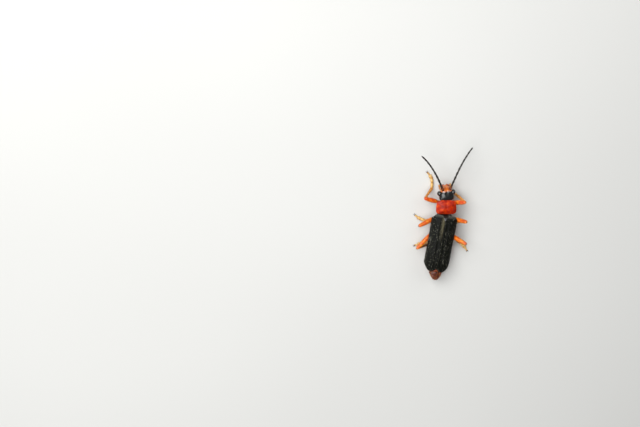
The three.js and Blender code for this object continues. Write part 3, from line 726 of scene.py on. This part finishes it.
# The first joint and a half are orange-brown, and the rest black with a little brown at each root.
parts = add_node(tree, "ShaderNodeSeparateXYZ", {"Vector": local})
turn = add_node(tree, "ShaderNodeAttribute", {}, attribute_name="turn")
share = add_node(tree, "ShaderNodeSeparateXYZ", {"Vector": turn.outputs["Vector"]})
dark = add_node(
    tree, "ShaderNodeValToRGB", {"Fac": share.outputs["Z"]},
    stops=[(0.0, "#3a2412"), (0.3, "#16120e"), (1.0, "#12100d")],
)
out = add_node(
    tree, "ShaderNodeMapRange", {"Value": parts.outputs["Y"], "From Min": -1.7, "From Max": -2.15},
    interpolation_type="SMOOTHSTEP",
)
add_node(
    tree, "ShaderNodeMix",
    {"Factor": out.outputs["Result"], "A": linear("#8c3d10"), "B": dark.outputs["Color"]},
    feeds={2: shader.inputs["Base Color"]}, data_type="RGBA",
)
rough = add_node(tree, "ShaderNodeTexNoise", {"Vector": local, "Scale": 20.0, "Detail": 3.0})
add_node(
    tree, "ShaderNodeBump",
    {"Height": rough.outputs["Fac"], "Distance": 0.015 * MM, "Strength": 0.7},
    feeds={"Normal": shader.inputs["Normal"]},
)

skins = {}
for hand, side, spread, curl, rise, droop in (("left", 1, 17, 0.6, 17, 0.5), ("right", -1, 27, 0.55, 7, 3)):
    at = Vector((side * SOCKET["out"], -SOCKET["ahead"], SOCKET["height"]))
    run = 0
    joints = []
    skins[f"antenna_{hand}"] = []
    for i, length in enumerate(ARTICLES):
        middle = run + length / 2
        sideways = math.radians(spread + curl * middle * middle)
        climb = math.radians(rise - droop * middle + 28 * math.exp(-2 * middle))
        step = Vector((
            side * math.cos(climb) * math.sin(sideways),
            -math.cos(climb) * math.cos(sideways),
            math.sin(climb),
        ))
        end = at + step * length
        half = 0.155 if i == 0 else 0.128 - 0.004 * i
        stations = [(-0.04, 0.5), (0.03, 0.62), (0.14, 0.7), (0.5, 0.84), (0.82, 1.0), (0.94, 0.92), (1.0, 0.6)]
        if i == 10:
            stations = [(-0.04, 0.5), (0.1, 0.76), (0.35, 0.9), (0.6, 0.82), (0.85, 0.5), (1.0, 0.14)]
        rings = [(at.lerp(end, share), wide * half, wide * half) for share, wide in stations]
        joints.append(drawn_body(f"antenna_joint_{i}", rings, sides=10))
        at = end
        run += length
    antenna = joined(f"antenna_{hand}", joints)
    remember_place(antenna)
    nodes = [f"antenna_{hand}_{length}" for length in ("scape", "base", "middle", "tip")]
    finish_piece(antenna, HEAD, antenna_black, nodes)
    skins[f"antenna_{hand}"].append((antenna, (HEAD.to_3x3() @ Vector((side * 0.5, -1, 0.1)))))


# Legs
# Six walking legs: a hip block, a trochanter and thigh, a shin with two spurs, and a foot of five
# joints, the fourth split in two lobes, ending in a pair of claws. Thighs are orange and shins
# paler, with the hind shins black. All limbs are drawn out along the bones and then posed.
LEG_PAIRS = {
    "front": (2.45, 2.05, 2.08, (0.6, -1.42, 0.86)),
    "mid": (2.82, 2.05, 2.0, (0.72, 0.5, 0.84)),
    "hind": (3.18, 2.35, 2.0, (0.82, 2.45, 0.84)),
}
# Side, thigh heading and lift, shin heading, foot heading, turn of the foot, ankle height.
LEG_POSES = {
    "front_left": (1, 13, 25, 131, 84, -44, 0.42),
    "front_right": (-1, 21, 41, 160, 156, 6, 0.6),
    "mid_left": (1, -31, 18, 162, -2, 34, 0.42),
    "mid_right": (-1, 8, 46, -140, -126, 8, 1.0),
    "hind_left": (1, -51, 16, 163, -8, -24, 0.42),
    "hind_right": (-1, -15, 42, -156, -30, -18, 0.75),
}
# Share of the foot's length, half width and half height of each joint.
FOOT_JOINTS = (
    (0.32, 0.19, 0.16), (0.19, 0.2, 0.15), (0.15, 0.22, 0.13), (0.13, 0.24, 0.1), (0.21, 0.11, 0.1)
)

thigh_orange = orange_cuticle(
    "orange thigh cuticle, satin, knee dark", [(0.28, "#b43200"), (0.5, "#e06206"), (0.72, "#f6a018")],
    dark_from=0.86,
)
front_orange = orange_cuticle(
    "orange-red front thigh cuticle, satin",
    [(0.28, "#bc2c00"), (0.5, "#e85600"), (0.72, "#fa9414")], dark_from=0.97, dark="#5a2a0c",
)
shin_pale = orange_cuticle(
    "yellow-brown shin cuticle", [(0.28, "#a05f1c"), (0.5, "#cc8838"), (0.72, "#efb45c")]
)
foot_cream = orange_cuticle(
    "cream-yellow foot cuticle, padded below", [(0.3, "#a87634"), (0.5, "#e0b868"), (0.7, "#f6e0a0")]
)
claw_brown = orange_cuticle("brown claw horn", [(0.3, "#3a1a08"), (0.72, "#7c4216")], roughness=0.25)


def toward(side, heading, lift=0.0):
    """A direction: heading 0 is straight out from the body and 90 is towards the head."""
    flat = math.cos(math.radians(lift))
    turned = math.radians(heading)
    return Vector((
        side * flat * math.cos(turned), -flat * math.sin(turned), math.sin(math.radians(lift))
    ))


def bone(name, start, end, stations, sides=14, bow=0.0):
    """A limb from start to end. A station is a share, a half width and a half height; bow lifts it."""
    rings = []
    for share, wide, high in stations:
        centre = start.lerp(end, share) + Vector((0, 0, bow * math.sin(math.pi * min(max(share, 0), 1))))
        rings.append((centre, wide, high))
    return drawn_body(name, rings, sides=sides)


for name, (side, heading, lift, shin_heading, foot_heading, foot_curl, ankle_height) in LEG_POSES.items():
    pair = name.split("_")[0]
    thigh_length, shin_length, foot_length, hip_place = LEG_PAIRS[pair]
    hip = Vector((side * hip_place[0], hip_place[1], hip_place[2]))
    if pair == "front":
        hip = Matrix.Rotation(math.radians(8), 3, "Z") @ hip
    thigh = toward(side, heading, lift)
    knee = hip + thigh * thigh_length
    fall = -math.degrees(math.asin((knee.z - ankle_height) / shin_length))
    shin = toward(side, shin_heading, fall)
    ankle = knee + shin * shin_length

    coxa = bone(f"hip_block_{name}", hip + Vector((-side * 0.26, -0.06, 0.3)), hip, [
        (0, 0.2, 0.2), (0.2, 0.25, 0.25), (0.55, 0.28, 0.28), (0.85, 0.24, 0.24), (1.04, 0.14, 0.14),
    ])
    remember_place(coxa)
    is_front = pair == "front"
    finish_piece(coxa, BODY, rust if is_front else shell_black, [f"coxa_{name}"])

    femur_parts = [
        bone("trochanter", hip - thigh * 0.02, hip + thigh * 0.36, [
            (0, 0.13, 0.13), (0.25, 0.2, 0.2), (0.7, 0.22, 0.22), (1, 0.15, 0.15),
        ]),
        bone("thigh", hip + thigh * 0.2, knee, [
            (0, 0.14, 0.16), (0.06, 0.18, 0.2), (0.2, 0.25, 0.27), (0.4, 0.28, 0.3),
            (0.6, 0.28, 0.29), (0.78, 0.25, 0.26), (0.89, 0.215, 0.22), (0.94, 0.215, 0.22),
            (0.985, 0.18, 0.19), (1.01, 0.12, 0.13), (1.02, 0.05, 0.05),
        ], sides=18, bow=0.015),
    ]
    femur = joined(f"thigh_{name}", femur_parts)
    remember_place(femur)
    femur_skin = front_orange if is_front else thigh_orange
    finish_piece(femur, BODY, femur_skin, [f"femur_{name}"])

    shin_parts = [bone("shin", knee + shin * 0.04, ankle, [
        (0, 0.09, 0.09), (0.03, 0.14, 0.14), (0.1, 0.13, 0.13), (0.4, 0.145, 0.145),
        (0.75, 0.16, 0.16), (0.93, 0.18, 0.18), (0.985, 0.17, 0.17), (1.0, 0.12, 0.12),
    ], bow=0.02)]
    for turned in (-1, 1):
        root = knee.lerp(ankle, 0.96)
        point = ankle + toward(side, foot_heading + 40 * turned, -22) * 0.22
        shin_parts.append(bone("spur", root, point, [(0, 0.04, 0.04), (0.6, 0.03, 0.03), (1, 0.008, 0.008)], 8))
    tibia = joined(f"shin_{name}", shin_parts)
    remember_place(tibia)
    finish_piece(tibia, BODY, shell_black if pair == "hind" else shin_pale, [f"tibia_{name}"])

    at = ankle + Vector((0, 0, -0.1))
    start_height = at.z
    run = 0
    foot_parts = []
    claws = []
    for i, (share, wide, high) in enumerate(FOOT_JOINTS):
        way = foot_heading + foot_curl * i / 4
        end = at + toward(side, way) * share * foot_length
        run += share
        end.z = 0.115 + (start_height - 0.115) * (1 - run) ** 2
        if i == 3:
            for lobe in (-1, 1):
                aim = toward(side, way + 24 * lobe) * share * foot_length * 1.25
                lobe_end = at + Vector((aim.x, aim.y, end.z - at.z - 0.02))
                foot_parts.append(bone("foot_lobe", at, lobe_end, [
                    (-0.1, 0.1, 0.08), (0.3, 0.14, 0.1), (0.75, 0.15, 0.09), (1.0, 0.08, 0.05),
                ], 12))
        elif i == 4:
            foot_parts.append(bone("claw_joint", at, end, [
                (-0.1, 0.07, 0.06), (0.2, 0.08, 0.08), (0.7, 0.1, 0.1), (0.95, 0.12, 0.1), (1.0, 0.07, 0.06),
            ], 12))
        else:
            foot_parts.append(bone("foot_joint", at, end, [
                (-0.08, 0.55 * wide, 0.6 * high), (0.1, 0.78 * wide, 0.85 * high), (0.5, 0.95 * wide, high),
                (0.85, wide, high), (1.04, 0.7 * wide, 0.7 * high),
            ], 12))
        at = end
    for turned in (-22, 22):
        root = at - toward(side, way) * 0.05
        elbow = root + toward(side, way + turned, 14) * 0.2
        point = elbow + toward(side, way + turned * 0.6, -30) * 0.19
        rings = [(root, 0.05, 0.05), (root.lerp(elbow, 0.5), 0.045, 0.045), (elbow, 0.036, 0.036), (point, 0.01, 0.01)]
        claws.append(drawn_body("claw", rings, sides=8))
    foot = joined(f"foot_{name}", foot_parts)
    lowest = min(vertex.co.z for vertex in foot.data.vertices)
    foot.data.transform(Matrix.Translation((0, 0, 0.002 - lowest)))
    remember_place(foot)
    finish_piece(foot, BODY, foot_cream, [f"tarsus_{name}"])
    claw_pair = joined(f"claws_{name}", claws)
    lowest = min(vertex.co.z for vertex in claw_pair.data.vertices)
    claw_pair.data.transform(Matrix.Translation((0, 0, 0.002 - lowest)))
    remember_place(claw_pair)
    finish_piece(claw_pair, BODY, claw_brown, [])
    skins[f"leg_{name}"] = [(femur, thigh), (tibia, shin), (foot, toward(side, foot_heading, -10))]


# Down
# Fine hairs lie backwards over the cuticle: dense grey on the wing cases, which dulls them, and sparse
# golden ones on the shield, head, abdomen, legs and antennae. Each hair is a closed spike.
def down(name, roots, count, length, width, stand, colours, slot_name, seed, facing=None):
    """Hairs on the given skins, each with the direction its hairs lie in."""
    chance = np.random.default_rng(seed)
    points, normals, lies, patches = [], [], [], []
    total = sum(sum(face.area for face in skin.data.polygons) for skin, _ in roots)
    for order, (skin, lie) in enumerate(roots):
        mesh = skin.data
        mesh.calc_loop_triangles()
        places = np.empty(len(mesh.vertices) * 3)
        mesh.vertices.foreach_get("co", places)
        places = places.reshape(-1, 3)
        turns = np.empty(len(mesh.vertices) * 3)
        mesh.attributes["turn"].data.foreach_get("vector", turns)
        turns = turns.reshape(-1, 3)
        corners = np.empty(len(mesh.loop_triangles) * 3, dtype=int)
        mesh.loop_triangles.foreach_get("vertices", corners)
        corners = corners.reshape(-1, 3)
        a, b, c = (places[corners[:, i]] for i in range(3))
        normal = np.cross(b - a, c - a)
        area = np.linalg.norm(normal, axis=1)
        weight = area.copy()
        normal /= np.maximum(area, 1e-20)[:, None]
        if facing is not None:
            weight[normal[:, 2] < facing] = 0
        here = int(count * weight.sum() / 2 / total)
        if here == 0:
            continue
        pick = chance.choice(len(weight), here, p=weight / weight.sum())
        u, v = chance.random(here), chance.random(here)
        flip = u + v > 1
        u[flip], v[flip] = 1 - u[flip], 1 - v[flip]
        w = 1 - u - v
        mixed = sum(share[:, None] * places[corners[pick, i]] for i, share in enumerate((w, u, v)))
        chart = sum(share[:, None] * turns[corners[pick, i]] for i, share in enumerate((w, u, v)))
        points.append(mixed)
        normals.append(normal[pick])
        lies.append(np.tile(np.array(lie) / np.linalg.norm(lie), (here, 1)))
        around = np.arctan2(chart[:, 1], chart[:, 0]) / math.tau + 0.5
        tile = (order + 0.02 + 0.94 * np.clip(chart[:, 2], 0, 1)) / len(roots)
        patches.append(np.stack([0.004 + 0.99 * around, tile], axis=1))
    points, normals, lies = (np.concatenate(rows) for rows in (points, normals, lies))
    patches = np.concatenate(patches)
    amount = len(points)
    stray = chance.normal(0, 0.22, (amount, 3))
    flat = lies + stray
    flat -= normals * (flat * normals).sum(1)[:, None]
    flat /= np.maximum(np.linalg.norm(flat, axis=1), 1e-9)[:, None]
    raised = math.radians(stand) * chance.uniform(0.6, 1.4, amount)[:, None]
    aim = flat * np.cos(raised) + normals * np.sin(raised)
    across = np.cross(normals, aim)
    across /= np.maximum(np.linalg.norm(across, axis=1), 1e-9)[:, None]
    upward = np.cross(aim, across)
    long = length * MM * chance.uniform(0.65, 1.2, amount)[:, None]
    half = width * MM / 2
    base = points - normals * half
    ring = [base + half * (math.cos(t) * across + math.sin(t) * upward) for t in (0, 2.1, 4.2)]
    spikes = np.stack([*ring, points + aim * long], axis=1).reshape(-1, 3)
    faces = np.array([(0, 2, 1), (0, 1, 3), (1, 2, 3), (2, 0, 3)])
    corners = (faces[None] + 4 * np.arange(amount)[:, None, None]).reshape(-1, 3)
    coat_mesh = bpy.data.meshes.new(name)
    coat_mesh.from_pydata(spikes.tolist(), [], corners.tolist())
    offsets = np.array([(0, 0), (1, 0), (0.5, 0.3), (0.5, 1)]) * COAT_PATCH
    corner_uvs = (patches[:, None, :] + offsets[None]).reshape(-1, 2)[corners.ravel()]
    layer = coat_mesh.uv_layers.new(name="OFBake")
    layer.data.foreach_set("uv", corner_uvs.ravel())
    tint = coat_mesh.attributes.new("tint", "FLOAT", "POINT")
    tint.data.foreach_set("value", np.repeat(chance.random(amount), 4))
    coat = bpy.data.objects.new(name, coat_mesh)
    bpy.context.collection.objects.link(coat)
    hair, tree, shader, _ = cuticle(f"insect hair, {slot_name}", 0.4)
    pale = add_node(tree, "ShaderNodeAttribute", {}, attribute_name="tint")
    tone = {"Color": shader.inputs["Base Color"]}
    add_node(tree, "ShaderNodeValToRGB", {"Fac": pale.outputs["Fac"]}, colours, feeds=tone)
    shader.inputs["Specular IOR Level"].default_value = 0.12
    hair.name = f"{name.replace('_', ' ')}, fine hairs {width} mm thick"
    coat_mesh.materials.append(hair)
    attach(coat, "root")
    return coat


TAILWARD = (0.0, 1.0, -0.05)
for hand, side in (("left", 1), ("right", -1)):
    roots = [(wing_cases[hand], (side * 0.25, 1.0, -0.1))]
    greys = [(0.0, "#080906"), (0.95, "#15160f"), (1.0, "#55543f")]
    down(f"wing_down_{hand}", roots, 9000, 0.16, 0.016, 22, greys, "wing_case", 11 + side, facing=0.0)
    # Painted highlights: a few pale, near-white hairs on each case stand in for glints of light.
    glints = [(0.0, "#6f6e58"), (1.0, "#e8e7d2")]
    down(f"wing_glints_{hand}", roots, 340, 0.09, 0.07, 34, glints, "wing_case", 14 + side, facing=0.1)

golds = [(0.0, "#8a4a10"), (0.6, "#c87c2c"), (1.0, "#f0c070")]
ambers = [(0.0, "#8a1c00"), (0.8, "#c04408"), (1.0, "#f0963c")]
darks = [(0.0, "#14120e"), (0.7, "#282318"), (1.0, "#5a5240")]
down("shield_down", [(shield, TAILWARD)], 900, 0.1, 0.01, 35, ambers, "red_shell", 21, facing=0.0)
down("head_down", [(head, TAILWARD)], 700, 0.09, 0.01, 40, darks, "black_shell", 22)
down("belly_down", [(abdomen, TAILWARD), (tip, TAILWARD)], 5200, 0.16, 0.016, 28, golds, "orange_shell", 23)
chest = [(middle_ring, TAILWARD), (rear_ring, TAILWARD)]
down("chest_down", chest, 4200, 0.15, 0.016, 30, greys, "black_shell", 24, facing=-2.0)
for hand in ("left", "right"):
    roots = skins[f"antenna_{hand}"]
    down(f"antenna_down_{hand}", roots, 3600, 0.1, 0.013, 38, darks, "black_shell", 31)
for order, name in enumerate(LEG_POSES):
    down(f"leg_down_{name}", skins[f"leg_{name}"], 3200, 0.12, 0.014, 34, golds, "pale_shell", 41 + order,
         facing=-0.25)


# Floor, lights and camera
# A plain pale floor, a large soft light from the left of the picture with a weaker one opposite, and
# the camera looking down on the back at the photograph's angle, turned with the animal's axis.
bpy.ops.object.select_all(action="DESELECT")
bpy.ops.mesh.primitive_plane_add(size=3.0, location=(0, 0, 0))
floor = bpy.context.object
floor.name = "floor"
floor_paint = bpy.data.materials.new("matte pale floor paint")
floor_paint.use_nodes = True
floor_tree = floor_paint.node_tree
floor_shader = floor_tree.nodes["Principled BSDF"]
floor_shader.inputs["Roughness"].default_value = 0.85
floor_grain = add_node(floor_tree, "ShaderNodeTexNoise", {"Scale": 40.0, "Detail": 2.0})
add_node(
    floor_tree, "ShaderNodeValToRGB", {"Fac": floor_grain.outputs["Fac"]},
    stops=[(0.3, "#c9c9c6"), (0.7, "#d0d0cd")], feeds={"Color": floor_shader.inputs["Base Color"]},
)
floor.data.materials.append(floor_paint)

world = bpy.data.worlds.new("pale studio air")
bpy.context.scene.world = world
world.use_nodes = True
world.node_tree.nodes["Background"].inputs["Color"].default_value = (0.8, 0.82, 0.85, 1)
world.node_tree.nodes["Background"].inputs["Strength"].default_value = 0.15
bpy.context.scene.view_settings.view_transform = "Standard"

target = middle_of_base + Vector((0, 0, 2.65 * MM))
for name, offset, size, power in (
    ("key softbox", (75, -60, 120), 110, 0.26),
    ("fill softbox", (-70, -100, 110), 100, 0.05),
    ("back softbox", (70, 120, 70), 50, 0.04),
    ("top softbox", (45, 30, 140), 90, 0.09),
):
    panel = bpy.data.lights.new(name, "AREA")
    panel.size = size * MM
    panel.energy = power
    lamp = bpy.data.objects.new(name, panel)
    bpy.context.collection.objects.link(lamp)
    lamp.location = target + Vector(offset) * MM
    lamp.rotation_euler = Vector(offset).to_track_quat("Z", "Y").to_euler()

# The camera's own axes: back along the view, up towards the head, rolled so the body leans in frame.
FOCAL_PIXELS = 100 / 36 * 640
back = Vector((math.tan(math.radians(12)), -math.tan(math.radians(14)), 1)).normalized()
headward = Vector((0, -1, 0))
up = (headward - back * headward.dot(back)).normalized()
right = up.cross(back)
roll = math.radians(10.8)
picture_right = right * math.cos(roll) + up * math.sin(roll)
picture_up = up * math.cos(roll) - right * math.sin(roll)
ray = Vector(((446.2 - 320) / FOCAL_PIXELS, (213.5 - 217) / FOCAL_PIXELS, -1)).normalized()
swing = ray.rotation_difference(Vector((0, 0, -1))).to_matrix()
axes = Matrix((picture_right, picture_up, back)).transposed() @ swing
lens = bpy.data.cameras.new("photograph lens")
lens.lens = 100
lens.sensor_width = 36
lens.clip_start = 0.01
camera = bpy.data.objects.new("camera", lens)
bpy.context.collection.objects.link(camera)
placed = axes.to_4x4()
placed.translation = target + back * 0.2228
camera.matrix_world = placed
bpy.context.scene.camera = camera
